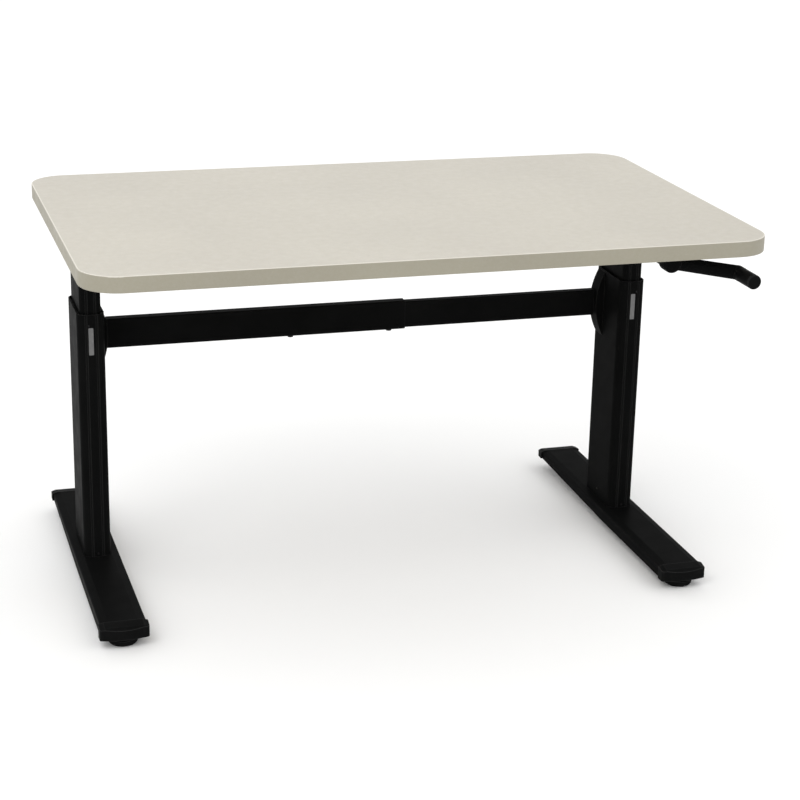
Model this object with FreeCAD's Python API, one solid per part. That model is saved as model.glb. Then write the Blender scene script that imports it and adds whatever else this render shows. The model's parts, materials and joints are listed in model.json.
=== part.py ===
import FreeCAD, Part
import math
import os

# Hand-cranked height adjustable standing desk.
# Millimetres, +X to the right, +Y to the back, +Z up.
# Shapes are drawn from a point on the floor under the middle of the worktop. save() moves them
# forward, so that the origin is under the middle of the whole desk, feet included.
# The rest pose is a low sitting height, with the crank pushed in under the worktop.

# ---- driving dimensions -------------------------------------------------------------

DESK_HEIGHT = 717.0            # floor to worktop surface at rest
TOP_WIDTH = 1219.2             # 48 inches
TOP_DEPTH = 762.0              # 30 inches
TOP_THICK = 28.575             # 1 1/8 inches
TOP_CORNER = 68.0              # plan radius of the worktop corners
EDGE_BAND = 2.0                # thickness of the edge band
EDGE_ROUND = 1.5               # rounding of the band's top and bottom edges
SHEET = 1.0                    # laminate and backing sheet thickness

LEG_X = 537.4                  # column centre lines, left and right of the middle
LEG_Y = 137.0                  # column centre line, behind the middle
LIFT_UP = 290.0                # travel above the rest pose
LIFT_DOWN = 55.0               # travel below the rest pose

OUTER_W = 51.0                 # outer column across X
OUTER_D = 142.0                # outer column across Y
OUTER_R = 18.0                 # its corner radius
OUTER_WALL = 2.5
RIM_DROP = 193.0               # worktop surface to the outer column's rim
BASE_T = 26.0                  # block in the column's foot
SLEEVE_GAP = 3.2               # outer column's bore to the inner column
INNER_WALL = 2.5
FLUTE_X = 10.0                 # grooves left and right of an outer column's middle
INNER_FLUTE_X = 7.8            # the same on an inner column
FLUTE_R = 2.0
FOOT_W = 83.0
FOOT_TOP = 43.0                # height of the foot's flat top
FOOT_BOTTOM = 15.5             # height of its underside, from the front to the column
FOOT_REAR_BOTTOM = 25.0        # height of its underside at the rear end
FOOT_FRONT_Y = -257.0
FOOT_REAR_Y = 446.0
FOOT_TAPER_Y = 70.0            # where the underside starts to rise
FOOT_WALL = 2.5
FOOT_FLAT = 54.0               # width of the level strip along the top
FOOT_FALL = 3.0                # fall from that strip to the sides
FOOT_EDGE = 3.0                # rounding of the long edges
CAP_LENGTH = 28.0              # visible length of a foot's end cap
CAP_PROUD = 3.0                # cap beyond the foot on each side
CAP_PLUG = 42.0                # plug length inside the foot
CAP_BOW = 8.0                  # bow of the cap's end face, in plan
CAP_CORNER = 5.5               # its corner radius, in plan
CAP_RIDGE = 9.0                # ridge line to the end face
CAP_RIDGE_DROPS = {"front": 3.0, "rear": 1.0}
CAP_TIP_FALL = 4.0             # fall from the ridge line to the end face

GLIDE_RS = {"front": 27.0, "rear": 16.0}
GLIDE_PAD = 13.5               # floor to the top of a glide's pad
GLIDE_INSET = 34.0             # glide centre from the foot's end
STUD_R = 5.0

BEAM_Y = 177.5                 # centre line of the cross beam
BEAM_DROP = 262.0              # worktop surface to the beam's centre line
BEAM_H = 57.5
BEAM_D = 25.0
BEAM_WALL = 2.0
BEAM_STEP_X = 94.0             # where the outer section ends
BEAM_LAP = 260.0               # inner section inside the outer one
BRACKET_H = 134.0
BRACKET_BULGE = 17.0
CRANK_X = 437.0
CRANK_DROP = 49.4              # worktop surface to the crank's and the shafts' centre line
CRANK_Y = -312.0               # plane of the crank arm
CRANK_REACH = 133.5            # crank axis to grip axis, across
CRANK_FALL = 26.5              # crank axis to grip axis, down
CRANK_PULL = 90.0              # travel of the crank out of its stowed place
GRIP_R = 13.2
GRIP_END_Y = -380.5
HUB_R = 17.0
HUB_HALF = 14.0                # half length of the hub, more than the arm's radius
ROD_R = 5.0

GEAR_TEETH = 16
GEAR_MODULE = 1.5
GEAR_FACE = 6.0
SCREW_R = 8.0
SHAFT_R = 5.0
RUNNING = 0.05                 # radial clearance of a running fit

# ---- positions worked out from them -------------------------------------------------

MIDDLE_Y = (FOOT_REAR_Y - TOP_DEPTH / 2) / 2
UNDERSIDE = DESK_HEIGHT - TOP_THICK
RIM_Z = DESK_HEIGHT - RIM_DROP
BEAM_Z = DESK_HEIGHT - BEAM_DROP
SHAFT_Z = DESK_HEIGHT - CRANK_DROP
INNER_W = OUTER_W - 2 * (OUTER_WALL + SLEEVE_GAP)
INNER_D = OUTER_D - 2 * (OUTER_WALL + SLEEVE_GAP)
INNER_R = OUTER_R - OUTER_WALL - SLEEVE_GAP
HEAD_FLOOR = SHAFT_Z - 36.0    # underside of the gear heads
INNER_TOP = HEAD_FLOOR
INNER_BOTTOM = FOOT_TOP + BASE_T + LIFT_DOWN + 3.0
NUT_TOP = INNER_BOTTOM + LIFT_UP + 46.0
BORE_W = OUTER_W - 2 * OUTER_WALL
BORE_D = OUTER_D - 2 * OUTER_WALL
BORE_R = OUTER_R - OUTER_WALL
SIDES = (("left", -1.0), ("right", 1.0))


def vec(x, y, z):
    return FreeCAD.Vector(x, y, z)


X_AXIS = vec(1, 0, 0)
Y_AXIS = vec(0, 1, 0)
Z_AXIS = vec(0, 0, 1)


def save(name, shape):
    placed = shape.copy()
    placed.translate(vec(0, -MIDDLE_Y, 0))
    placed.exportStep("parts/" + name + ".step")


def fuse(shapes):
    result = shapes[0]
    for shape in shapes[1:]:
        result = result.fuse(shape)
    return result.removeSplitter()


def box(x0, x1, y0, y1, z0, z1):
    return Part.makeBox(x1 - x0, y1 - y0, z1 - z0, vec(x0, y0, z0))


def rod(radius, start, axis, length):
    return Part.makeCylinder(radius, length, start, axis)


def tube(outer_r, inner_r, start, axis, length):
    return rod(outer_r, start, axis, length).cut(rod(inner_r, start, axis, length))


def rounded_face(width, depth, radius, centre, z):
    """Flat face in plan: a rectangle with round corners."""
    hw = width / 2
    hd = depth / 2
    cx, cy = centre
    k = radius * (1 - math.sqrt(0.5))
    corners = ((1, 1), (-1, 1), (-1, -1), (1, -1))
    edges = []
    arc_ends = []
    for index, (sx, sy) in enumerate(corners):
        on_side = vec(cx + sx * hw, cy + sy * (hd - radius), z)
        on_end = vec(cx + sx * (hw - radius), cy + sy * hd, z)
        middle = vec(cx + sx * (hw - k), cy + sy * (hd - k), z)
        first, last = (on_side, on_end) if index % 2 == 0 else (on_end, on_side)
        edges.append(Part.Arc(first, middle, last).toShape())
        arc_ends.append((first, last))
    for index in range(4):
        edges.append(Part.makeLine(arc_ends[index][1], arc_ends[(index + 1) % 4][0]))
    return Part.Face(Part.Wire(Part.__sortEdges__(edges)))


def rounded_block(width, depth, radius, centre, z0, z1):
    return rounded_face(width, depth, radius, centre, z0).extrude(vec(0, 0, z1 - z0))


def side_profile(points, x0, x1):
    """Closed outline of (y, z) points, extruded along X."""
    wire = Part.makePolygon([vec(x0, y, z) for y, z in points + [points[0]]])
    return Part.Face(wire).extrude(vec(x1 - x0, 0, 0))


def edges_along_y(shape, x, beyond):
    """Edges that run mostly along Y, further from the plane at x than the given distance."""
    found = []
    for edge in shape.Edges:
        first = edge.Vertexes[0].Point
        last = edge.Vertexes[-1].Point
        run = last.sub(first)
        outside = abs(edge.CenterOfMass.x - x) > beyond
        if abs(run.y) > 0.9 * run.Length and run.Length > 5.0 and outside:
            found.append(edge)
    return found


def edges_along_x(shape):
    found = []
    for edge in shape.Edges:
        run = edge.Vertexes[-1].Point.sub(edge.Vertexes[0].Point)
        if abs(run.x) > 0.98 * run.Length and run.Length > 20.0:
            found.append(edge)
    return found


def pan_screw(head_r, head_t, shank_r, length, seat, axis):
    """Round-head screw. The seat is the centre of the head's underside, axis points out."""
    head = rod(head_r, seat, axis, head_t)
    rings = [e for e in head.Edges if e.Length < 7 * head_r]
    rim = [e for e in rings if e.CenterOfMass.sub(seat).Length > 0.5 * head_t]
    head = head.makeFillet(0.6 * head_t, rim[:1])
    recess = rod(0.38 * head_r, seat + axis * (0.45 * head_t), axis, head_t)
    shank = rod(shank_r, seat - axis * length, axis, length)
    return head.cut(recess).fuse(shank).removeSplitter()


def hex_bolt(flats, head_t, shank_r, length, seat, axis):
    """Hexagon-head bolt. The seat is the centre of the head's underside, axis points out."""
    head = hexagon(flats, seat, axis, head_t)
    shank = rod(shank_r, seat - axis * length, axis, length)
    return head.fuse(shank).removeSplitter()


def hexagon(flats, start, axis, length, turn=0.0):
    """Hexagonal bar of the given size across its flats."""
    radius = flats / math.sqrt(3)
    side = Y_AXIS if abs(axis.y) < 0.5 else Z_AXIS
    other = axis.cross(side)
    points = []
    for index in range(7):
        a = math.radians(60.0 * index + turn)
        points.append(start + side * (radius * math.cos(a)) + other * (radius * math.sin(a)))
    return Part.Face(Part.makePolygon(points)).extrude(axis * length)


# ---- worktop -------------------------------------------------------------------------

def build_worktop():
    band_outer = rounded_block(TOP_WIDTH, TOP_DEPTH, TOP_CORNER, (0, 0), UNDERSIDE, DESK_HEIGHT)
    rims = [e for e in band_outer.Edges if abs(e.BoundBox.ZLength) < 0.01]
    band_outer = band_outer.makeFillet(EDGE_ROUND, rims)
    width = TOP_WIDTH - 2 * EDGE_BAND
    depth = TOP_DEPTH - 2 * EDGE_BAND
    corner = TOP_CORNER - EDGE_BAND
    inside = rounded_block(width, depth, corner, (0, 0), UNDERSIDE, DESK_HEIGHT)
    save("worktop_edge_band", band_outer.cut(inside))
    sheets = (("worktop_laminate", DESK_HEIGHT - SHEET, DESK_HEIGHT),
              ("worktop_core", UNDERSIDE + SHEET, DESK_HEIGHT - SHEET),
              ("worktop_backing", UNDERSIDE, UNDERSIDE + SHEET))
    for name, z0, z1 in sheets:
        save(name, rounded_block(width, depth, corner, (0, 0), z0, z1))


# ---- steel frame under the worktop ---------------------------------------------------

ARM_W = 60.0
ARM_T = 4.0
ARM_FRONT_Y = -230.0
ARM_REAR_Y = 320.0
RAIL_W = 40.0
RAIL_T = 5.0
RAIL_YS = (ARM_FRONT_Y + 25.0, ARM_REAR_Y - 25.0)
SCREW_HEAD_T = 2.5


def build_top_frame():
    arm_z = UNDERSIDE - ARM_T
    down = vec(0, 0, -1)
    screws = []
    for side, sx in SIDES:
        plate = rounded_block(ARM_W, ARM_REAR_Y - ARM_FRONT_Y, 8.0,
                              (sx * LEG_X, (ARM_FRONT_Y + ARM_REAR_Y) / 2), arm_z, UNDERSIDE)
        ribs = []
        for rx in (-1, 1):
            x = sx * LEG_X + rx * (ARM_W / 2 - 4.0)
            for y0, y1 in ((ARM_FRONT_Y + 12, LEG_Y - 40), (LEG_Y + 40, ARM_REAR_Y - 12)):
                ribs.append(box(x - 1.5, x + 1.5, y0, y1, arm_z - 14.0, arm_z))
        arm = fuse([plate] + ribs)
        for y in (ARM_FRONT_Y + 40, ARM_FRONT_Y + 130, ARM_REAR_Y - 90, ARM_REAR_Y - 30):
            arm = arm.cut(rod(2.6, vec(sx * LEG_X, y, arm_z - 1), Z_AXIS, ARM_T + 2))
            screws.append(pan_screw(4.5, SCREW_HEAD_T, 2.4, ARM_T, vec(sx * LEG_X, y, arm_z), down))
        save("top_arm_" + side, arm)
    rail_end = LEG_X - ARM_W / 2
    rail_z = UNDERSIDE - RAIL_T
    rails = []
    for y in RAIL_YS:
        rail = box(-rail_end, rail_end, y - RAIL_W / 2, y + RAIL_W / 2, rail_z, UNDERSIDE)
        for x in (-380.0, -140.0, 140.0, 380.0):
            rail = rail.cut(rod(2.6, vec(x, y, rail_z - 1), Z_AXIS, RAIL_T + 2))
            screws.append(pan_screw(4.5, SCREW_HEAD_T, 2.4, RAIL_T, vec(x, y, rail_z), down))
        rails.append(rail)
    save("frame_rails", Part.makeCompound(rails))
    save("worktop_screws", Part.makeCompound(screws))


# ---- columns -------------------------------------------------------------------------

def column_section(width, depth, radius, wall, centre, z0, z1, flute_x):
    """Rounded tube with two shallow grooves down its front and two down its back."""
    body = rounded_block(width, depth, radius, centre, z0, z1)
    grooves = []
    for fx in (-1, 1):
        for fy in (-1, 1):
            start = vec(centre[0] + fx * flute_x, centre[1] + fy * (depth / 2 + 0.4), z0)
            grooves.append(rod(FLUTE_R, start, Z_AXIS, z1 - z0))
    body = body.cut(Part.makeCompound(grooves))
    bore_r = max(radius - wall, 1.0)
    bore = rounded_block(width - 2 * wall, depth - 2 * wall, bore_r, centre, z0, z1)
    return body.cut(bore)


COLLAR_H = 42.0
COLLAR_SUNK = 4.0              # collar's top under the outer column's rim
SCREW_AXIAL = 8.0              # screw length in the base block


def build_columns():
    shoes = []
    bases = []
    screws = []
    for side, sx in SIDES:
        centre = (sx * LEG_X, LEG_Y)
        outer = column_section(OUTER_W, OUTER_D, OUTER_R, OUTER_WALL, centre, FOOT_TOP, RIM_Z, FLUTE_X)
        inner = column_section(INNER_W, INNER_D, INNER_R, INNER_WALL, centre,
                               INNER_BOTTOM, INNER_TOP, INNER_FLUTE_X)
        save("column_inner_" + side, inner)
        save("column_collar_" + side, collar(centre))
        shoes.append(slide_shoe(centre))

        base = rounded_block(BORE_W - 0.4, BORE_D - 0.4, BORE_R - 0.2, centre, FOOT_TOP, FOOT_TOP + BASE_T)
        front_y = LEG_Y - OUTER_D / 2
        pin_seat = vec(centre[0] + sx * 5.0, front_y, RIM_Z - 21.0)
        screws.append(pan_screw(1.8, 0.9, 1.0, 2.0, pin_seat, vec(0, -1, 0)))
        outer = outer.cut(rod(1.2, pin_seat - Y_AXIS, Y_AXIS, 3.4))
        seats = ((vec(centre[0] - OUTER_W / 2, LEG_Y, FOOT_TOP + 18.0), vec(-1, 0, 0)),
                 (vec(centre[0] + OUTER_W / 2, LEG_Y, FOOT_TOP + 18.0), vec(1, 0, 0)),
                 (vec(centre[0], front_y, FOOT_TOP + 6.0), vec(0, -1, 0)))
        for seat, out in seats:
            hole = rod(1.4, seat + out * 2.0, out * -1.0, SCREW_AXIAL + 3.0)
            outer = outer.cut(hole)
            base = base.cut(hole)
            screws.append(pan_screw(2.2, 1.0, 1.2, SCREW_AXIAL, seat, out))
        for dy in BOLT_YS:
            base = base.cut(rod(BOLT_R + 0.3, vec(centre[0], LEG_Y + dy, FOOT_BOTTOM), Z_AXIS, 60))
        save("column_outer_" + side, outer)
        bases.append(base)
    save("slide_shoes", Part.makeCompound(shoes))
    save("column_bases", Part.makeCompound(bases))
    save("column_screws", Part.makeCompound(screws))


def collar(centre):
    """Plastic sleeve sunk in the outer column's mouth, which the inner column slides in."""
    top = RIM_Z - COLLAR_SUNK
    body = rounded_block(BORE_W, BORE_D, BORE_R, centre, top - COLLAR_H, top)
    bore = rounded_block(INNER_W + 2 * RUNNING, INNER_D + 2 * RUNNING, INNER_R + RUNNING,
                         centre, top - COLLAR_H, top)
    return body.cut(bore)


SHOE_H = 30.0


def slide_shoe(centre):
    """Plastic shoe around the foot of the inner column, which slides in the outer one."""
    outer = rounded_block(BORE_W - 2 * RUNNING, BORE_D - 2 * RUNNING, BORE_R - RUNNING,
                          centre, INNER_BOTTOM, INNER_BOTTOM + SHOE_H)
    bore = rounded_block(INNER_W, INNER_D, INNER_R, centre, INNER_BOTTOM, INNER_BOTTOM + SHOE_H)
    return outer.cut(bore)


POST_R = 14.0
POST_BORE = 9.5
NUT_H = 40.0
BOLT_R = 4.0
BOLT_YS = (-45.0, 45.0)


def build_lift_nuts():
    """Bolts of the column's base block, the posts on it, and the lead nuts on the posts."""
    bolts = []
    posts = []
    nuts = []
    for side, sx in SIDES:
        x = sx * LEG_X
        for dy in BOLT_YS:
            seat = vec(x, LEG_Y + dy, FOOT_TOP - FOOT_WALL)
            bolts.append(hex_bolt(13.0, 5.0, BOLT_R, FOOT_WALL + BASE_T - 2, seat, vec(0, 0, -1)))
        post_z = FOOT_TOP + BASE_T
        posts.append(tube(POST_R, POST_BORE, vec(x, LEG_Y, post_z), Z_AXIS, NUT_TOP - NUT_H - post_z))
        nut = tube(POST_R, SCREW_R + RUNNING, vec(x, LEG_Y, NUT_TOP - NUT_H), Z_AXIS, NUT_H)
        flange = tube(POST_R + 1.5, SCREW_R + RUNNING, vec(x, LEG_Y, NUT_TOP - 6), Z_AXIS, 6)
        nuts.append(nut.fuse(flange).removeSplitter())
    save("base_bolts", Part.makeCompound(bolts))
    save("nut_posts", Part.makeCompound(posts))
    save("lead_nuts", Part.makeCompound(nuts))


LABEL_W = 9.0
LABEL_H = 52.0
LABEL_DROP = 218.5             # worktop surface to a label's top
LABEL_T = 0.4
LABEL_SHIFT = -1.5             # labels off the columns' middle


def build_labels():
    """Plain silver labels, with no lettering, on the columns' front faces."""
    front_y = LEG_Y - OUTER_D / 2
    top_z = DESK_HEIGHT - LABEL_DROP
    labels = []
    for side, sx in SIDES:
        flat = rounded_face(LABEL_W, LABEL_H, 1.5, (0, 0), 0).extrude(vec(0, 0, LABEL_T))
        flat.rotate(vec(0, 0, 0), X_AXIS, 90)
        flat.translate(vec(sx * LEG_X + LABEL_SHIFT, front_y, top_z - LABEL_H / 2))
        labels.append(flat)
    save("column_labels", Part.makeCompound(labels))


# ---- feet ----------------------------------------------------------------------------

def foot_bottom(y):
    """Height of the foot's underside at a place along its length."""
    if y < FOOT_TAPER_Y:
        return FOOT_BOTTOM
    share = (y - FOOT_TAPER_Y) / (FOOT_REAR_Y - FOOT_TAPER_Y)
    return FOOT_BOTTOM + share * (FOOT_REAR_BOTTOM - FOOT_BOTTOM)


def foot_profile(y0, y1, inset):
    """Side outline of the foot between two places, drawn in by an inset."""
    points = [(y0, FOOT_TOP - inset), (y0, foot_bottom(y0) + inset)]
    if y0 < FOOT_TAPER_Y < y1:
        points.append((FOOT_TAPER_Y, FOOT_BOTTOM + inset))
    points += [(y1, foot_bottom(y1) + inset), (y1, FOOT_TOP - inset)]
    return points


def hipped(x, half, flat, y, top, run):
    """Solid with a level strip along its top and sloping shoulders, drawn out along a run."""
    shoulder = top - FOOT_FALL
    outline = [(x - half, -30.0), (x + half, -30.0), (x + half, shoulder), (x + flat, top),
               (x - flat, top), (x - half, shoulder)]
    points = [vec(px, y, pz) for px, pz in outline]
    return Part.Face(Part.makePolygon(points + [points[0]])).extrude(run)


def foot_bar(x, y0, y1, inset, radius):
    half = FOOT_W / 2 - inset
    bar = side_profile(foot_profile(y0, y1, inset), x - half, x + half)
    bar = bar.common(hipped(x, half, FOOT_FLAT / 2, y0, FOOT_TOP - inset, vec(0, y1 - y0, 0)))
    return bar.makeFillet(radius, edges_along_y(bar, x, half - 1.0))


GLIDES = (("front", FOOT_FRONT_Y + GLIDE_INSET), ("rear", FOOT_REAR_Y - GLIDE_INSET))
STUD_TOP = 35.0
FOOT_BORE_EDGE = 1.0           # rounding inside the foot and along the plugs


def build_feet():
    joint_front = FOOT_FRONT_Y + CAP_LENGTH
    joint_rear = FOOT_REAR_Y - CAP_LENGTH
    for side, sx in SIDES:
        x = sx * LEG_X
        outer = foot_bar(x, joint_front, joint_rear, 0.0, FOOT_EDGE)
        inner = foot_bar(x, joint_front, joint_rear, FOOT_WALL, FOOT_BORE_EDGE)
        foot = outer.cut(inner)
        holes = [rod(STUD_R + 1.5, vec(x, y, 0), Z_AXIS, FOOT_TOP - 10) for _, y in GLIDES]
        for dy in BOLT_YS:
            holes.append(rod(BOLT_R + 0.3, vec(x, LEG_Y + dy, FOOT_TOP - 10), Z_AXIS, 20))
            holes.append(rod(9.0, vec(x, LEG_Y + dy, 0), Z_AXIS, FOOT_TOP - 12))
        save("foot_" + side, foot.cut(Part.makeCompound(holes)))
        for name, y in GLIDES:
            save("foot_cap_" + name + "_" + side, foot_cap(x, name, joint_front, joint_rear, y))
            save("glide_" + name + "_" + side, glide(x, y, GLIDE_RS[name]))


def foot_cap(x, name, joint_front, joint_rear, glide_y):
    """End cap: bowed in plan, with a ridge across its top, and a plug that enters the foot."""
    out = -1.0 if name == "front" else 1.0
    joint = joint_front if name == "front" else joint_rear
    end = joint + out * CAP_LENGTH
    half = FOOT_W / 2 + CAP_PROUD
    corner = end - out * CAP_BOW
    edges = [Part.makeLine(vec(x - half, joint, 0), vec(x + half, joint, 0)),
             Part.makeLine(vec(x + half, joint, 0), vec(x + half, corner, 0)),
             Part.Arc(vec(x + half, corner, 0), vec(x, end, 0), vec(x - half, corner, 0)).toShape(),
             Part.makeLine(vec(x - half, corner, 0), vec(x - half, joint, 0))]
    plan = Part.Face(Part.Wire(Part.__sortEdges__(edges))).extrude(vec(0, 0, 60))
    upright = [e for e in plan.Edges if e.BoundBox.ZLength > 50 and abs(e.CenterOfMass.y - joint) > 5]
    plan = plan.makeFillet(CAP_CORNER, upright)
    low = foot_bottom(end) + 0.5
    side = side_profile([(joint, low), (end, low + 1.5), (end, 60.0), (joint, 60.0)], x - half, x + half)
    top = FOOT_TOP + 0.6
    ridge = FOOT_TOP - CAP_RIDGE_DROPS[name]
    body_run = CAP_LENGTH - CAP_RIDGE
    flat = half - CAP_RIDGE
    body = hipped(x, half, flat, joint, top, vec(0, out * body_run, ridge - top))
    tip = hipped(x, half, flat, joint + out * body_run, ridge, vec(0, out * CAP_RIDGE, -CAP_TIP_FALL))
    block = plan.common(side).common(body.fuse(tip))
    deep = joint - out * CAP_PLUG
    plug = foot_bar(x, min(deep, joint), max(deep, joint), FOOT_WALL + 0.15, FOOT_BORE_EDGE)
    cap = fuse([block, plug])
    return cap.cut(rod(STUD_R + RUNNING, vec(x, glide_y, 0), Z_AXIS, STUD_TOP + 1.5))


def glide(x, y, pad_r):
    """Levelling glide: a round pad with a rounded sole, a neck and a threaded stud."""
    pad = rod(pad_r, vec(x, y, 0), Z_AXIS, GLIDE_PAD - 2)
    sole = [e for e in pad.Edges if e.CenterOfMass.z < 0.1 and e.Length > 50]
    pad = pad.makeFillet(0.25 * pad_r, sole[:1])
    shoulder = Part.makeCone(pad_r, pad_r - 4.0, 2.0, vec(x, y, GLIDE_PAD - 2), Z_AXIS)
    stud = rod(STUD_R, vec(x, y, GLIDE_PAD - 2), Z_AXIS, STUD_TOP - GLIDE_PAD + 2)
    return fuse([pad, shoulder, stud])


# ---- cross beam ----------------------------------------------------------------------

def beam_section(x0, x1, height, depth, wall, radius):
    """Rectangular tube along X with rounded edges."""
    solid = box(x0, x1, BEAM_Y - depth / 2, BEAM_Y + depth / 2, BEAM_Z - height / 2, BEAM_Z + height / 2)
    solid = solid.makeFillet(radius, edges_along_x(solid))
    bore = box(x0, x1, BEAM_Y - depth / 2 + wall, BEAM_Y + depth / 2 - wall,
               BEAM_Z - height / 2 + wall, BEAM_Z + height / 2 - wall)
    bore = bore.makeFillet(max(radius - wall, 0.8), edges_along_x(bore))
    return solid.cut(bore)


BRACKET_PLATE = 3.0


def bracket_bow(side_x, sx, offset):
    """Bowed outline of the bracket in X and Z, drawn in by an offset, as a solid along Y."""
    half = BRACKET_H / 2 - offset
    bulge = BRACKET_BULGE - offset
    arc = Part.Arc(vec(side_x, 0, BEAM_Z - half), vec(side_x - sx * bulge, 0, BEAM_Z),
                   vec(side_x, 0, BEAM_Z + half)).toShape()
    chord = Part.makeLine(vec(side_x, 0, BEAM_Z + half), vec(side_x, 0, BEAM_Z - half))
    face = Part.Face(Part.Wire([arc, chord]))
    face.translate(vec(0, BEAM_Y - BEAM_D / 2 - 9, 0))
    return face.extrude(vec(0, BEAM_D + 9, 0))


def build_beam():
    face_x = LEG_X - OUTER_W / 2
    beam_end = face_x - BRACKET_BULGE
    outer = beam_section(-beam_end, BEAM_STEP_X, BEAM_H, BEAM_D, BEAM_WALL, 4.0)
    inner_h = BEAM_H - 2 * BEAM_WALL - 0.8
    inner_d = BEAM_D - 2 * BEAM_WALL - 0.8
    inner = beam_section(BEAM_STEP_X - BEAM_LAP, beam_end, inner_h, inner_d, BEAM_WALL, 3.0)
    screws = []
    holes = []
    for x in (BEAM_STEP_X - 230.0, BEAM_STEP_X - 30.0):
        seat = vec(x, BEAM_Y, BEAM_Z - BEAM_H / 2)
        screws.append(hex_bolt(10.0, 4.0, 3.0, 6.0, seat, vec(0, 0, -1)))
        holes.append(rod(3.2, vec(x, BEAM_Y, BEAM_Z - BEAM_H / 2 - 1), Z_AXIS, 8.0))
    save("beam_outer", outer.cut(Part.makeCompound(holes)))
    save("beam_inner", inner.cut(Part.makeCompound(holes)))
    save("beam_lock_screws", Part.makeCompound(screws))
    for side, sx in SIDES:
        side_x = sx * face_x
        bracket = bracket_bow(side_x, sx, 0.0)
        hollow = bracket_bow(side_x, sx, BRACKET_PLATE)
        hollow.translate(vec(0, BRACKET_PLATE, 0))
        bracket = bracket.cut(hollow)
        for dz in (-1, 1):
            z = BEAM_Z + dz * (BRACKET_H / 2 - 16)
            y = BEAM_Y - 4
            pad = box(min(side_x, side_x - sx * 5), max(side_x, side_x - sx * 5), y - 8, y + 8, z - 8, z + 8)
            bracket = bracket.fuse(pad.common(bracket_bow(side_x, sx, 0.0)))
        bracket = bracket.removeSplitter()
        save("beam_bracket_" + side, bracket)


# ---- gears ---------------------------------------------------------------------------

def bevel_gear(apex, axis, tooth_at_cardinals, bore_r):
    """Mitre gear whose teeth point to the apex. The gear lies on the far side of axis."""
    cone_r = GEAR_MODULE * GEAR_TEETH / 2 * math.sqrt(2)
    tip = 0.8 * GEAR_MODULE
    root = -1.25 * GEAR_MODULE
    shrink = (cone_r - GEAR_FACE) / cone_r
    slant = math.sqrt(0.5)

    def point(angle, height, scale):
        radius = slant * (cone_r + height) * scale
        depth = slant * (cone_r - height) * scale
        return vec(radius * math.cos(angle), radius * math.sin(angle), -depth)

    big = point(0.0, root, 1.0)
    small = point(0.0, root, shrink)
    blank = Part.makeCone(big.x, small.x, small.z - big.z, vec(0, 0, big.z), Z_AXIS)
    hub = rod(big.x * 0.8, vec(0, 0, big.z - 5.0), Z_AXIS, 5.5)
    step = 2 * math.pi / GEAR_TEETH
    solids = [blank, hub]
    for index in range(GEAR_TEETH):
        middle = step * (index + (0.0 if tooth_at_cardinals else 0.5))
        rings = []
        for scale in (1.0, shrink):
            corners = ((-0.29, root - 0.35), (0.29, root - 0.35), (0.12, tip), (-0.12, tip))
            rings.append([point(middle + turn * step, height, scale) for turn, height in corners])
        solids.append(frustum(rings[0], rings[1]))
    gear = fuse(solids).cut(rod(bore_r, vec(0, 0, big.z - 6), Z_AXIS, 30))
    gear.Placement = FreeCAD.Placement(apex, FreeCAD.Rotation(Z_AXIS, axis))
    return gear


def frustum(first, last):
    """Solid between two similar four-sided rings."""
    faces = [Part.Face(Part.makePolygon(first + [first[0]])), Part.Face(Part.makePolygon(last + [last[0]]))]
    for index in range(4):
        following = (index + 1) % 4
        ring = [first[index], first[following], last[following], last[index], first[index]]
        faces.append(Part.Face(Part.makePolygon(ring)))
    return Part.Solid(Part.Shell(faces))


PITCH_R = GEAR_MODULE * GEAR_TEETH / 2
HUB_BACK = PITCH_R + 6.4       # gear apex to the back of a gear's hub


# ---- drive: gear heads, shafts and lead screws ---------------------------------------

HEAD_X = 26.0                  # half width of a gear head
HEAD_Y = 24.0
HEAD_WALL = 3.0
HEAD_TOP = UNDERSIDE - ARM_T


def housing(x0, x1, y0, y1, z0, z1, openings):
    """Hollow box, open at the top, with round openings given as (start, axis, radius)."""
    shell = box(x0, x1, y0, y1, z0, z1)
    upright = [e for e in shell.Edges if e.BoundBox.ZLength > 5]
    shell = shell.makeFillet(4.0, upright)
    hollow = box(x0 + HEAD_WALL, x1 - HEAD_WALL, y0 + HEAD_WALL, y1 - HEAD_WALL, z0 + HEAD_WALL, z1)
    shell = shell.cut(hollow)
    for start, axis, radius in openings:
        shell = shell.cut(rod(radius, start, axis, 80.0))
    return shell


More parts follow.
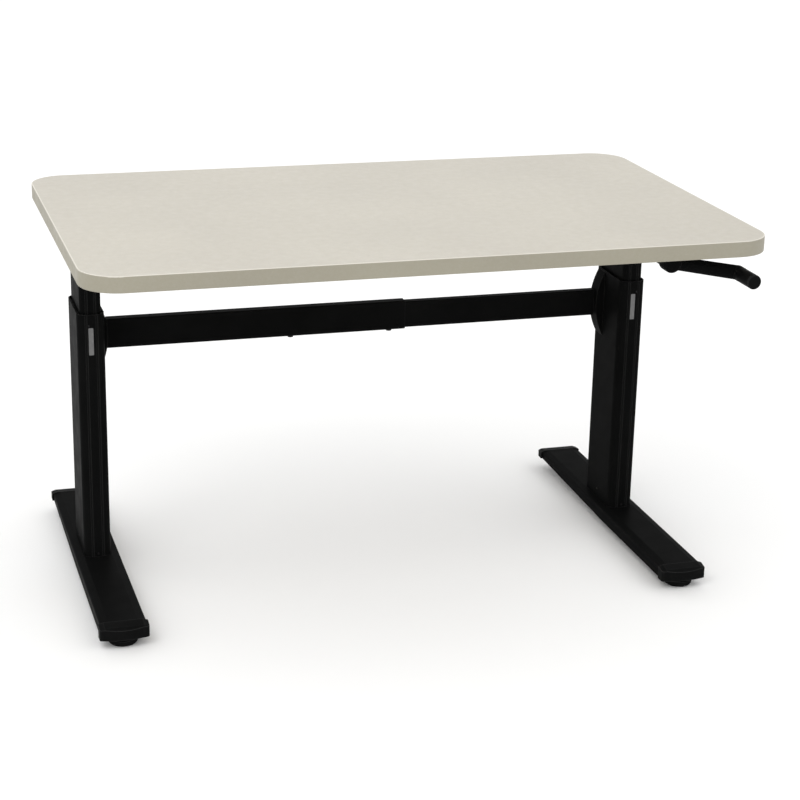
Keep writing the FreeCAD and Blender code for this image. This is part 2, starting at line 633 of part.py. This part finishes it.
def build_drive():
    bearing_r = 10.0
    bearings = []
    for side, sx in SIDES:
        apex = vec(sx * LEG_X, LEG_Y, SHAFT_Z)
        head = housing(sx * LEG_X - HEAD_X, sx * LEG_X + HEAD_X, LEG_Y - HEAD_Y, LEG_Y + HEAD_Y,
                       HEAD_FLOOR, HEAD_TOP,
                       [(apex, vec(-sx, 0, 0), SHAFT_R + 3), (apex, vec(0, 0, -1), bearing_r)])
        flange = rounded_block(INNER_W + 14, INNER_D, INNER_R, (sx * LEG_X, LEG_Y),
                               HEAD_FLOOR, HEAD_FLOOR + 3)
        flange = flange.cut(box(sx * LEG_X - HEAD_X + 0.5, sx * LEG_X + HEAD_X - 0.5,
                                LEG_Y - HEAD_Y + 0.5, LEG_Y + HEAD_Y - 0.5, HEAD_FLOOR - 1, HEAD_FLOOR + 4))
        save("gear_head_" + side, head.fuse(flange).removeSplitter())
        bearing = tube(bearing_r, SCREW_R - 1 + RUNNING, vec(apex.x, LEG_Y, HEAD_FLOOR - 3), Z_AXIS, 9)
        bearings.append(bearing)
        gear = bevel_gear(apex, Z_AXIS, False, 4.0)
        save("screw_gear_" + side, gear)
        neck_top = SHAFT_Z - PITCH_R + GEAR_FACE * math.sqrt(0.5)
        screw_top = HEAD_FLOOR - 3.3
        neck = rod(SCREW_R - 1, vec(apex.x, LEG_Y, screw_top), Z_AXIS, SHAFT_Z - HUB_BACK - screw_top - 0.4)
        pin = rod(3.95, vec(apex.x, LEG_Y, screw_top), Z_AXIS, neck_top - screw_top - 1)
        screw = rod(SCREW_R, vec(apex.x, LEG_Y, INNER_BOTTOM + 3), Z_AXIS, screw_top - INNER_BOTTOM - 3)
        save("lead_screw_" + side, fuse([screw, neck, pin]))
        save("shaft_gear_" + side, bevel_gear(apex, vec(sx, 0, 0), True, SHAFT_R - 1))

    reach = LEG_X - PITCH_R + GEAR_FACE * math.sqrt(0.5) - 1
    shaft = rod(SHAFT_R - 1.05, vec(-reach, LEG_Y, SHAFT_Z), X_AXIS, 2 * reach)
    middle = LEG_X - PITCH_R - 14.0
    core = hexagon(2 * SHAFT_R * 0.95, vec(-middle, LEG_Y, SHAFT_Z), X_AXIS, CRANK_X - 30.0 + middle)
    save("cross_shaft", shaft.fuse(core).removeSplitter())
    save("screw_bearings", Part.makeCompound(bearings))

    apex = vec(CRANK_X, LEG_Y, SHAFT_Z)
    save("shaft_gear_input", bevel_gear(apex, X_AXIS, True, SHAFT_R - 1))
    save("input_gear", bevel_gear(apex, Y_AXIS, False, SHAFT_R - 1))
    box_openings = [(vec(CRANK_X - 40, LEG_Y, SHAFT_Z), X_AXIS, SHAFT_R + 2),
                    (apex, vec(0, -1, 0), SHAFT_R + 3)]
    save("crank_gearbox", housing(CRANK_X - 26, CRANK_X + 26, LEG_Y - 34, LEG_Y + 22,
                                  SHAFT_Z - 20, UNDERSIDE, box_openings))
    build_shaft_hangers()


def build_shaft_hangers():
    hangers = []
    for x in (-250.0, 60.0):
        hanger = box(x - 6, x + 6, LEG_Y - 14, LEG_Y + 14, SHAFT_Z - 11, UNDERSIDE)
        hangers.append(hanger.cut(rod(SHAFT_R + 1.5, vec(x - 10, LEG_Y, SHAFT_Z), X_AXIS, 20)))
    save("shaft_hangers", Part.makeCompound(hangers))


# ---- crank ---------------------------------------------------------------------------

ARM_START_R = 12.2             # crank arm at the hub
DRIVE_TUBE_R = 10.5
DRIVE_TUBE_BORE = 8.5
DRIVE_FRONT_Y = -135.0
DOG_FLATS = 12.0
DOG_LENGTH = 15.0
DOG_REST_Y = -40.0
GUIDE_FRONT_Y = -287.0
GUIDE_REAR_Y = -150.0
GUIDE_R = 13.0
GUIDE_BORE = 10.6


def build_crank():
    def on_axis(y):
        return vec(CRANK_X, y, SHAFT_Z)

    # Drive tube: a plain bore, with a twelve-point socket at the front that takes the dog.
    rear = LEG_Y - 34.0 - 1.0
    body = rod(DRIVE_TUBE_R, on_axis(DRIVE_FRONT_Y), Y_AXIS, rear - DRIVE_FRONT_Y)
    bore = rod(DRIVE_TUBE_BORE, on_axis(DRIVE_FRONT_Y + 20), Y_AXIS, rear - DRIVE_FRONT_Y - 40)
    socket_flats = DOG_FLATS + 0.4
    socket = hexagon(socket_flats, on_axis(DRIVE_FRONT_Y - 1), Y_AXIS, 22)
    socket = socket.fuse(hexagon(socket_flats, on_axis(DRIVE_FRONT_Y - 1), Y_AXIS, 22, 30.0))
    stub_end = LEG_Y - PITCH_R + GEAR_FACE * math.sqrt(0.5) - 1
    stub = rod(SHAFT_R - 1.05, on_axis(rear - 5), Y_AXIS, stub_end - rear + 5)
    save("drive_tube", body.cut(bore).cut(socket).fuse(stub).removeSplitter())

    # Guide tube under the worktop's front, with a nose bush.
    guide = tube(GUIDE_R, GUIDE_BORE, on_axis(GUIDE_FRONT_Y), Y_AXIS, GUIDE_REAR_Y - GUIDE_FRONT_Y)
    saddle = box(CRANK_X - 20, CRANK_X + 20, -250, -170, SHAFT_Z + 6, UNDERSIDE)
    saddle = saddle.cut(box(CRANK_X - 21, CRANK_X + 21, RAIL_YS[0] - RAIL_W / 2 - 1,
                            RAIL_YS[0] + RAIL_W / 2 + 1, UNDERSIDE - RAIL_T - 0.3, UNDERSIDE + 1))
    saddle = saddle.cut(rod(GUIDE_R - 0.5, on_axis(-251), Y_AXIS, 82))
    save("crank_guide", guide.fuse(saddle).removeSplitter())
    save("guide_bush", tube(GUIDE_BORE, ROD_R + RUNNING, on_axis(GUIDE_FRONT_Y), Y_AXIS, 8))

    # Sleeve that slides with the rod in the guide tube.
    save("crank_sleeve", tube(GUIDE_BORE - RUNNING, ROD_R + RUNNING, on_axis(-176), Y_AXIS, 18))

    hub_back = CRANK_Y + HUB_HALF
    shaft = rod(ROD_R, on_axis(hub_back), Y_AXIS, DOG_REST_Y - hub_back + DOG_LENGTH)
    dog = hexagon(DOG_FLATS, on_axis(DOG_REST_Y), Y_AXIS, DOG_LENGTH)
    save("crank_rod", shaft.fuse(dog).removeSplitter())

    grip_x = CRANK_X + CRANK_REACH
    grip_z = SHAFT_Z - CRANK_FALL
    hub = rod(HUB_R, on_axis(CRANK_Y - HUB_HALF), Y_AXIS, 2 * HUB_HALF)
    hub = hub.makeFillet(4.0, [e for e in hub.Edges if e.Length > 50])
    start = on_axis(CRANK_Y)
    finish = vec(grip_x, CRANK_Y, grip_z)
    run = finish.sub(start)
    arm = Part.makeCone(ARM_START_R, GRIP_R, run.Length, start, run)
    elbow = Part.makeSphere(GRIP_R + 0.2, finish)
    collar = rod(GRIP_R + 0.2, vec(grip_x, CRANK_Y - 16, grip_z), Y_AXIS, 16)
    save("crank_arm", fuse([hub, arm, elbow, collar]))

    grip_start = CRANK_Y - 16.3
    pin_len = grip_start - GRIP_END_Y - 8
    pin = rod(4.0, vec(grip_x, CRANK_Y - 16, grip_z), vec(0, -1, 0), pin_len)
    save("grip_pin", pin)
    grip = rod(GRIP_R, vec(grip_x, grip_start, grip_z), vec(0, -1, 0), grip_start - GRIP_END_Y - 3)
    bore = rod(4.0 + RUNNING, vec(grip_x, grip_start, grip_z), vec(0, -1, 0), pin_len + 1)
    save("crank_grip", grip.cut(bore))
    cap = rod(GRIP_R, vec(grip_x, GRIP_END_Y + 3, grip_z), vec(0, -1, 0), 3)
    rim = [e for e in cap.Edges if e.Length > 50 and e.CenterOfMass.y < GRIP_END_Y + 1]
    save("grip_cap", cap.makeFillet(2.0, rim[:1]))


def main():
    os.makedirs("parts", exist_ok=True)
    build_worktop()
    build_top_frame()
    build_columns()
    build_lift_nuts()
    build_labels()
    build_feet()
    build_beam()
    build_drive()
    build_crank()


main()
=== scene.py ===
import json
import math

import bpy
from mathutils import Matrix, Vector


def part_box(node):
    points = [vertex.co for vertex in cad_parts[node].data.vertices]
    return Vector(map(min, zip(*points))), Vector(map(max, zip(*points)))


# Looks of the standing desk: a studio, and a procedural material for each finish in the record.
# Metres. Every mesh of the frame is kept as it is, and only given a material.

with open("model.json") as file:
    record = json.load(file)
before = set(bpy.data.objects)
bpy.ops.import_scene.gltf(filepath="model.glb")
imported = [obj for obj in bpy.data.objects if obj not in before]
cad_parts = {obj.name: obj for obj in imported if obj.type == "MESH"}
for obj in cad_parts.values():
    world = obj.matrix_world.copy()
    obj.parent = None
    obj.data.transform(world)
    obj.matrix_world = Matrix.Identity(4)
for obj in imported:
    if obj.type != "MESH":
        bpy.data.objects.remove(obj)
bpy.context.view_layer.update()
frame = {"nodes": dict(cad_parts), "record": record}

# ---- camera, floor and lights ------------------------------------------------------------

CAMERA_FROM_TOP = Vector((-1.00694, -3.44593, 0.84772))   # from the middle of the worktop's surface
CAMERA_YAW = 16.857
CAMERA_PITCH = 18.831
CAMERA_ROLL = 1.224
LENS_MM = 89.53
SENSOR_MM = 36.0
FAR_CLIP = 80.0

FLOOR_SIZE = 60.0
PAPER = (0.95, 0.95, 0.945, 1.0)
PAPER_ROUGHNESS = 0.95
PAPER_GLOSS = 0.1
SKY_STRENGTH = 1.1

# Name, place, point it faces, width and height, power in watts.
LIGHTS = (
    ("key", (-1.8, -2.2, 3.2), (0, 0, 0.6), (2.4, 1.8), 30),
    ("fill", (2.8, -2.4, 1.6), (0, 0, 0.4), (2.0, 2.0), 4),
    ("back", (0.6, 3.4, 2.4), (0, 0, 0.6), (3.2, 1.6), 8),
)


def make_camera():
    """Camera placed from the middle of the worktop's surface, turned by its yaw, pitch and roll."""
    data = bpy.data.cameras.new("camera")
    data.lens = LENS_MM
    data.sensor_width = SENSOR_MM
    data.clip_end = FAR_CLIP
    camera = bpy.data.objects.new("camera", data)
    yaw, pitch, roll = (math.radians(a) for a in (CAMERA_YAW, CAMERA_PITCH, CAMERA_ROLL))
    forward = Vector((
        math.sin(yaw) * math.cos(pitch),
        math.cos(yaw) * math.cos(pitch),
        -math.sin(pitch),
    ))
    level = Vector((math.cos(yaw), -math.sin(yaw), 0.0))
    upright = level.cross(forward)
    right = level * math.cos(roll) + upright * math.sin(roll)
    up = upright * math.cos(roll) - level * math.sin(roll)
    axes = Matrix((right, up, -forward)).transposed()
    low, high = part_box("worktop_laminate")
    top = Vector(((low[0] + high[0]) / 2, (low[1] + high[1]) / 2, high[2]))
    camera.matrix_world = Matrix.Translation(top + CAMERA_FROM_TOP) @ axes.to_4x4()
    bpy.context.scene.collection.objects.link(camera)
    bpy.context.scene.camera = camera


def area_light(name, place, target, size, power):
    """Rectangular light that faces the target."""
    data = bpy.data.lights.new(name, "AREA")
    data.shape = "RECTANGLE"
    data.size, data.size_y = size
    data.energy = power
    light = bpy.data.objects.new(name, data)
    light.location = place
    light.rotation_euler = (Vector(target) - Vector(place)).to_track_quat("-Z", "Y").to_euler()
    bpy.context.scene.collection.objects.link(light)


def make_studio():
    """Even white sky, a paper floor and three lights."""
    world = bpy.data.worlds.new("studio")
    world.use_nodes = True
    sky = world.node_tree.nodes["Background"]
    sky.inputs["Color"].default_value = (1.0, 1.0, 1.0, 1.0)
    sky.inputs["Strength"].default_value = SKY_STRENGTH
    bpy.context.scene.world = world
    bpy.ops.mesh.primitive_plane_add(size=FLOOR_SIZE, location=(0, 0, 0))
    floor = bpy.context.object
    floor.name = "floor"
    paint = bpy.data.materials.new("floor_paper")
    paint.use_nodes = True
    shader = paint.node_tree.nodes["Principled BSDF"]
    shader.inputs["Base Color"].default_value = PAPER
    shader.inputs["Roughness"].default_value = PAPER_ROUGHNESS
    shader.inputs["Specular IOR Level"].default_value = PAPER_GLOSS
    floor.data.materials.append(paint)
    for light in LIGHTS:
        area_light(*light)


# ---- materials ---------------------------------------------------------------------------

class Finish:
    """Builds one material, node by node, around a Principled shader."""

    def __init__(self, name):
        self.material = bpy.data.materials.new(name)
        self.material.use_nodes = True
        self.tree = self.material.node_tree
        self.shader = self.tree.nodes["Principled BSDF"]
        self.place = self.add("ShaderNodeTexCoord").outputs["Object"]

    def add(self, kind):
        return self.tree.nodes.new(kind)

    def link(self, source, target):
        self.tree.links.new(source, target)

    def set(self, **values):
        for name, value in values.items():
            self.shader.inputs[name.replace("_", " ")].default_value = value

    def noise(self, scale, detail=3.0, roughness=0.5, stretch=(1.0, 1.0, 1.0)):
        """Noise in metres of the object, stretched along its axes."""
        mapping = self.add("ShaderNodeMapping")
        mapping.inputs["Scale"].default_value = stretch
        self.link(self.place, mapping.inputs["Vector"])
        node = self.add("ShaderNodeTexNoise")
        node.inputs["Scale"].default_value = scale
        node.inputs["Detail"].default_value = detail
        node.inputs["Roughness"].default_value = roughness
        self.link(mapping.outputs["Vector"], node.inputs["Vector"])
        return node.outputs["Fac"]

    def ramp(self, source, stops):
        """Colours or greys at places along a 0 to 1 value."""
        node = self.add("ShaderNodeValToRGB")
        elements = node.color_ramp.elements
        elements[0].position, elements[0].color = stops[0]
        elements[1].position, elements[1].color = stops[-1]
        for position, colour in stops[1:-1]:
            elements.new(position).color = colour
        self.link(source, node.inputs["Fac"])
        return node.outputs["Color"]

    def between(self, source, low, high, lowest=0.3, highest=0.7):
        """Maps the middle of a noise onto a range of values."""
        node = self.add("ShaderNodeMapRange")
        node.inputs["From Min"].default_value = lowest
        node.inputs["From Max"].default_value = highest
        node.inputs["To Min"].default_value = low
        node.inputs["To Max"].default_value = high
        self.link(source, node.inputs["Value"])
        return node.outputs["Result"]

    def mix(self, share, first, second):
        """Colour mix: a share socket, and a colour or a socket at each end."""
        node = self.add("ShaderNodeMix")
        node.data_type = "RGBA"
        self.link(share, node.inputs["Factor"])
        for name, value in (("A", first), ("B", second)):
            socket = [i for i in node.inputs if i.name == name and i.type == "RGBA"][0]
            if isinstance(value, tuple):
                socket.default_value = value
            else:
                self.link(value, socket)
        return [o for o in node.outputs if o.type == "RGBA"][0]

    def painted_highlight_edges(self, radius, spread):
        """Painted highlight mask: 0 on flat faces, towards 1 along edges, from the angle between sharp and
        bevelled normals.
        """
        bevel = self.add("ShaderNodeBevel")
        bevel.inputs["Radius"].default_value = radius
        flat = self.add("ShaderNodeNewGeometry")
        dot = self.add("ShaderNodeVectorMath")
        dot.operation = "DOT_PRODUCT"
        self.link(bevel.outputs["Normal"], dot.inputs[0])
        self.link(flat.outputs["Normal"], dot.inputs[1])
        return self.between(dot.outputs["Value"], 1.0, 0.0, 1.0 - spread, 1.0)

    def upward(self, lowest, highest):
        """0 on upright faces, 1 on faces that look up, by the face's own normal."""
        face = self.add("ShaderNodeNewGeometry")
        split = self.add("ShaderNodeSeparateXYZ")
        self.link(face.outputs["Normal"], split.inputs[0])
        return self.between(split.outputs["Z"], 0.0, 1.0, lowest, highest)

    def bump(self, height, distance, strength=1.0):
        node = self.add("ShaderNodeBump")
        node.inputs["Distance"].default_value = distance
        node.inputs["Strength"].default_value = strength
        self.link(height, node.inputs["Height"])
        self.link(node.outputs["Normal"], self.shader.inputs["Normal"])

    def colour(self, socket):
        self.link(socket, self.shader.inputs["Base Color"])

    def roughness(self, socket):
        self.link(socket, self.shader.inputs["Roughness"])


COOL = (0.97, 1.0, 1.0)               # tint of the blacks
FINE_LINES = (1.0, 1.0, 12.0)         # noise stretch that draws thin lines on metal

# Both blacks are nearly without gloss, since a normal gloss mirrors the white studio on their sides.
# Their edges are lightened instead, which stands in for highlights and does not follow the lights.
POWDER_GLOSS = 0.004
PLASTIC_GLOSS = 0.010
# Share of the painted edge highlight in the colour of both blacks.
EDGE_HIGHLIGHT_SHARE = 0.55


def grey(value, tint=(1.0, 1.0, 1.0)):
    return (value * tint[0], value * tint[1], value * tint[2], 1.0)


def laminate(name, light, dark, flecks, painted_rim_highlight=None):
    """Greige laminate: a soft cloudy tone, a fine mottle, faint long scratches, and, when given, a painted
    highlight on faces that look up, such as the band's rounded upper edge.
    """
    finish = Finish(name)
    cloud = finish.ramp(finish.noise(3.2, 2.0), [(0.35, dark), (0.65, light)])
    mottle = finish.between(finish.noise(190.0, 5.0, 0.72), 0.0, flecks, 0.42, 0.68)
    tone = finish.mix(mottle, cloud, grey(0.42, (1.0, 0.95, 0.87)))
    if painted_rim_highlight:
        # Painted highlight: faces that look up are lightened, as the rounded upper edge of the band catches
        # the light.
        tone = finish.mix(finish.upward(0.15, 0.60), tone, painted_rim_highlight)
    scratch = finish.between(finish.noise(16.0, 4.0, 0.7, (0.4, 12.0, 1.0)), 0.0, 0.10, 0.70, 0.76)
    finish.colour(finish.mix(scratch, tone, grey(0.80, (1.0, 0.98, 0.94))))
    finish.roughness(finish.between(finish.noise(60.0, 4.0), 0.42, 0.56))
    finish.bump(finish.noise(1400.0, 2.0), 0.00004, 0.5)
    finish.set(Specular_IOR_Level=0.35)
    return finish.material


def powder_coat(name):
    """Black powder coat on steel: orange peel, a faint mottle, and a painted highlight that lightens the
    edges.
    """
    finish = Finish(name)
    tone = finish.ramp(finish.noise(14.0, 4.0), [(0.3, grey(0.0040, COOL)), (0.7, grey(0.0054, COOL))])
    # Painted highlight: edges are lightened towards grey, standing in for light caught by the edges.
    highlight_mask = finish.painted_highlight_edges(0.0016, 0.05)
    finish.colour(finish.mix(finish.between(highlight_mask, 0.0, EDGE_HIGHLIGHT_SHARE, 0.0, 1.0), tone, grey(0.034)))
    finish.roughness(finish.between(finish.noise(35.0, 5.0), 0.38, 0.46))
    finish.bump(finish.noise(900.0, 2.0), 0.00009, 0.45)
    finish.set(Specular_IOR_Level=POWDER_GLOSS)
    return finish.material


def moulded_plastic(name):
    """Black moulded plastic: a fine grain, a faint mottle, and a painted highlight that lightens the edges.
    """
    finish = Finish(name)
    tone = finish.ramp(finish.noise(22.0, 4.0), [(0.3, grey(0.0050, COOL)), (0.7, grey(0.0066, COOL))])
    # Painted highlight: edges are lightened towards grey, standing in for light caught by the edges, such as
    # the bright ridge on the foot caps.
    highlight_mask = finish.painted_highlight_edges(0.0018, 0.040)
    finish.colour(finish.mix(finish.between(highlight_mask, 0.0, EDGE_HIGHLIGHT_SHARE, 0.0, 1.0), tone, grey(0.048)))
    finish.roughness(finish.between(finish.noise(50.0, 4.0), 0.36, 0.46))
    finish.bump(finish.noise(1800.0, 3.0, 0.6), 0.00007, 0.5)
    finish.set(Specular_IOR_Level=PLASTIC_GLOSS)
    return finish.material


def chipboard(name):
    """Pressed wood chips of mixed sizes."""
    finish = Finish(name)
    chips = finish.add("ShaderNodeTexVoronoi")
    chips.inputs["Scale"].default_value = 520.0
    finish.link(finish.place, chips.inputs["Vector"])
    stops = [(0.1, (0.42, 0.28, 0.16, 1)), (0.8, (0.60, 0.45, 0.29, 1))]
    tone = finish.ramp(chips.outputs["Distance"], stops)
    finish.colour(finish.mix(finish.between(finish.noise(90.0), 0.0, 0.6), tone, (0.30, 0.19, 0.10, 1)))
    finish.roughness(finish.between(finish.noise(80.0), 0.8, 0.95))
    finish.bump(chips.outputs["Distance"], 0.0003, 0.6)
    return finish.material


def metal(name, light, dark, rough, stretch, tarnish):
    """Bare metal with drawn lines, and tarnish in patches."""
    finish = Finish(name)
    lines = finish.noise(160.0, 4.0, 0.6, stretch)
    tone = finish.ramp(lines, [(0.3, dark), (0.7, light)])
    patches = finish.between(finish.noise(45.0, 5.0, 0.65), 0.0, 0.55, 0.48, 0.70)
    finish.colour(finish.mix(patches, tone, tarnish))
    finish.roughness(finish.between(lines, rough, rough + 0.16))
    finish.bump(lines, 0.00004, 0.4)
    finish.set(Metallic=1.0)
    return finish.material


def blank_label():
    """Plain matt silver foil, faintly scuffed."""
    finish = Finish("silver_foil")
    tone = finish.ramp(finish.noise(120.0, 4.0), [(0.3, grey(0.125)), (0.7, grey(0.165))])
    scuff = finish.between(finish.noise(300.0, 3.0, 0.6, (1.0, 1.0, 0.15)), 0.0, 0.4, 0.58, 0.72)
    finish.colour(finish.mix(scuff, tone, grey(0.10)))
    finish.roughness(finish.between(finish.noise(90.0), 0.45, 0.60))
    finish.bump(finish.noise(700.0, 2.0), 0.00003, 0.4)
    finish.set(Metallic=0.35)
    return finish.material


def make_finishes():
    """One material for each slot of the record."""
    return {
        "laminate": laminate(
            "top_laminate", (0.500, 0.470, 0.401, 1), (0.473, 0.444, 0.380, 1), 0.34),
        "edge_band": laminate(
            "band_laminate", (0.303, 0.283, 0.220, 1), (0.279, 0.259, 0.203, 1), 0.10,
            # Pale colour of the painted highlight on the band's rounded upper edge.
            painted_rim_highlight=(0.64, 0.61, 0.54, 1)),
        "backing": laminate(
            "backing_sheet", (0.46, 0.42, 0.36, 1), (0.40, 0.36, 0.31, 1), 0.30),
        "particle_board": chipboard("chipboard"),
        "black_steel": powder_coat("powder_coat"),
        "black_plastic": moulded_plastic("moulded_plastic"),
        "black_screw": metal("black_oxide", grey(0.030), grey(0.018), 0.42, FINE_LINES, grey(0.010)),
        "zinc_screw": metal("zinc_plate", grey(0.62), grey(0.46), 0.28, FINE_LINES, grey(0.30)),
        "bare_steel": metal(
            "oiled_steel", grey(0.50), grey(0.34), 0.24, FINE_LINES, (0.20, 0.16, 0.12, 1)),
        "bronze": metal(
            "bronze", (0.55, 0.33, 0.14, 1), (0.40, 0.23, 0.09, 1), 0.30, FINE_LINES, (0.16, 0.10, 0.05, 1)),
        "silver_label": blank_label(),
    }


def dress_frame():
    """Gives each node of the frame the finish that its record slot names."""
    finishes = make_finishes()
    for part in frame["record"]["subparts"]:
        node = frame["nodes"][part["node"]]
        for index in range(len(node.data.materials)):
            node.data.materials[index] = finishes[part["material_slot"]]


bpy.context.scene.view_settings.view_transform = "Standard"
dress_frame()
make_camera()
make_studio()
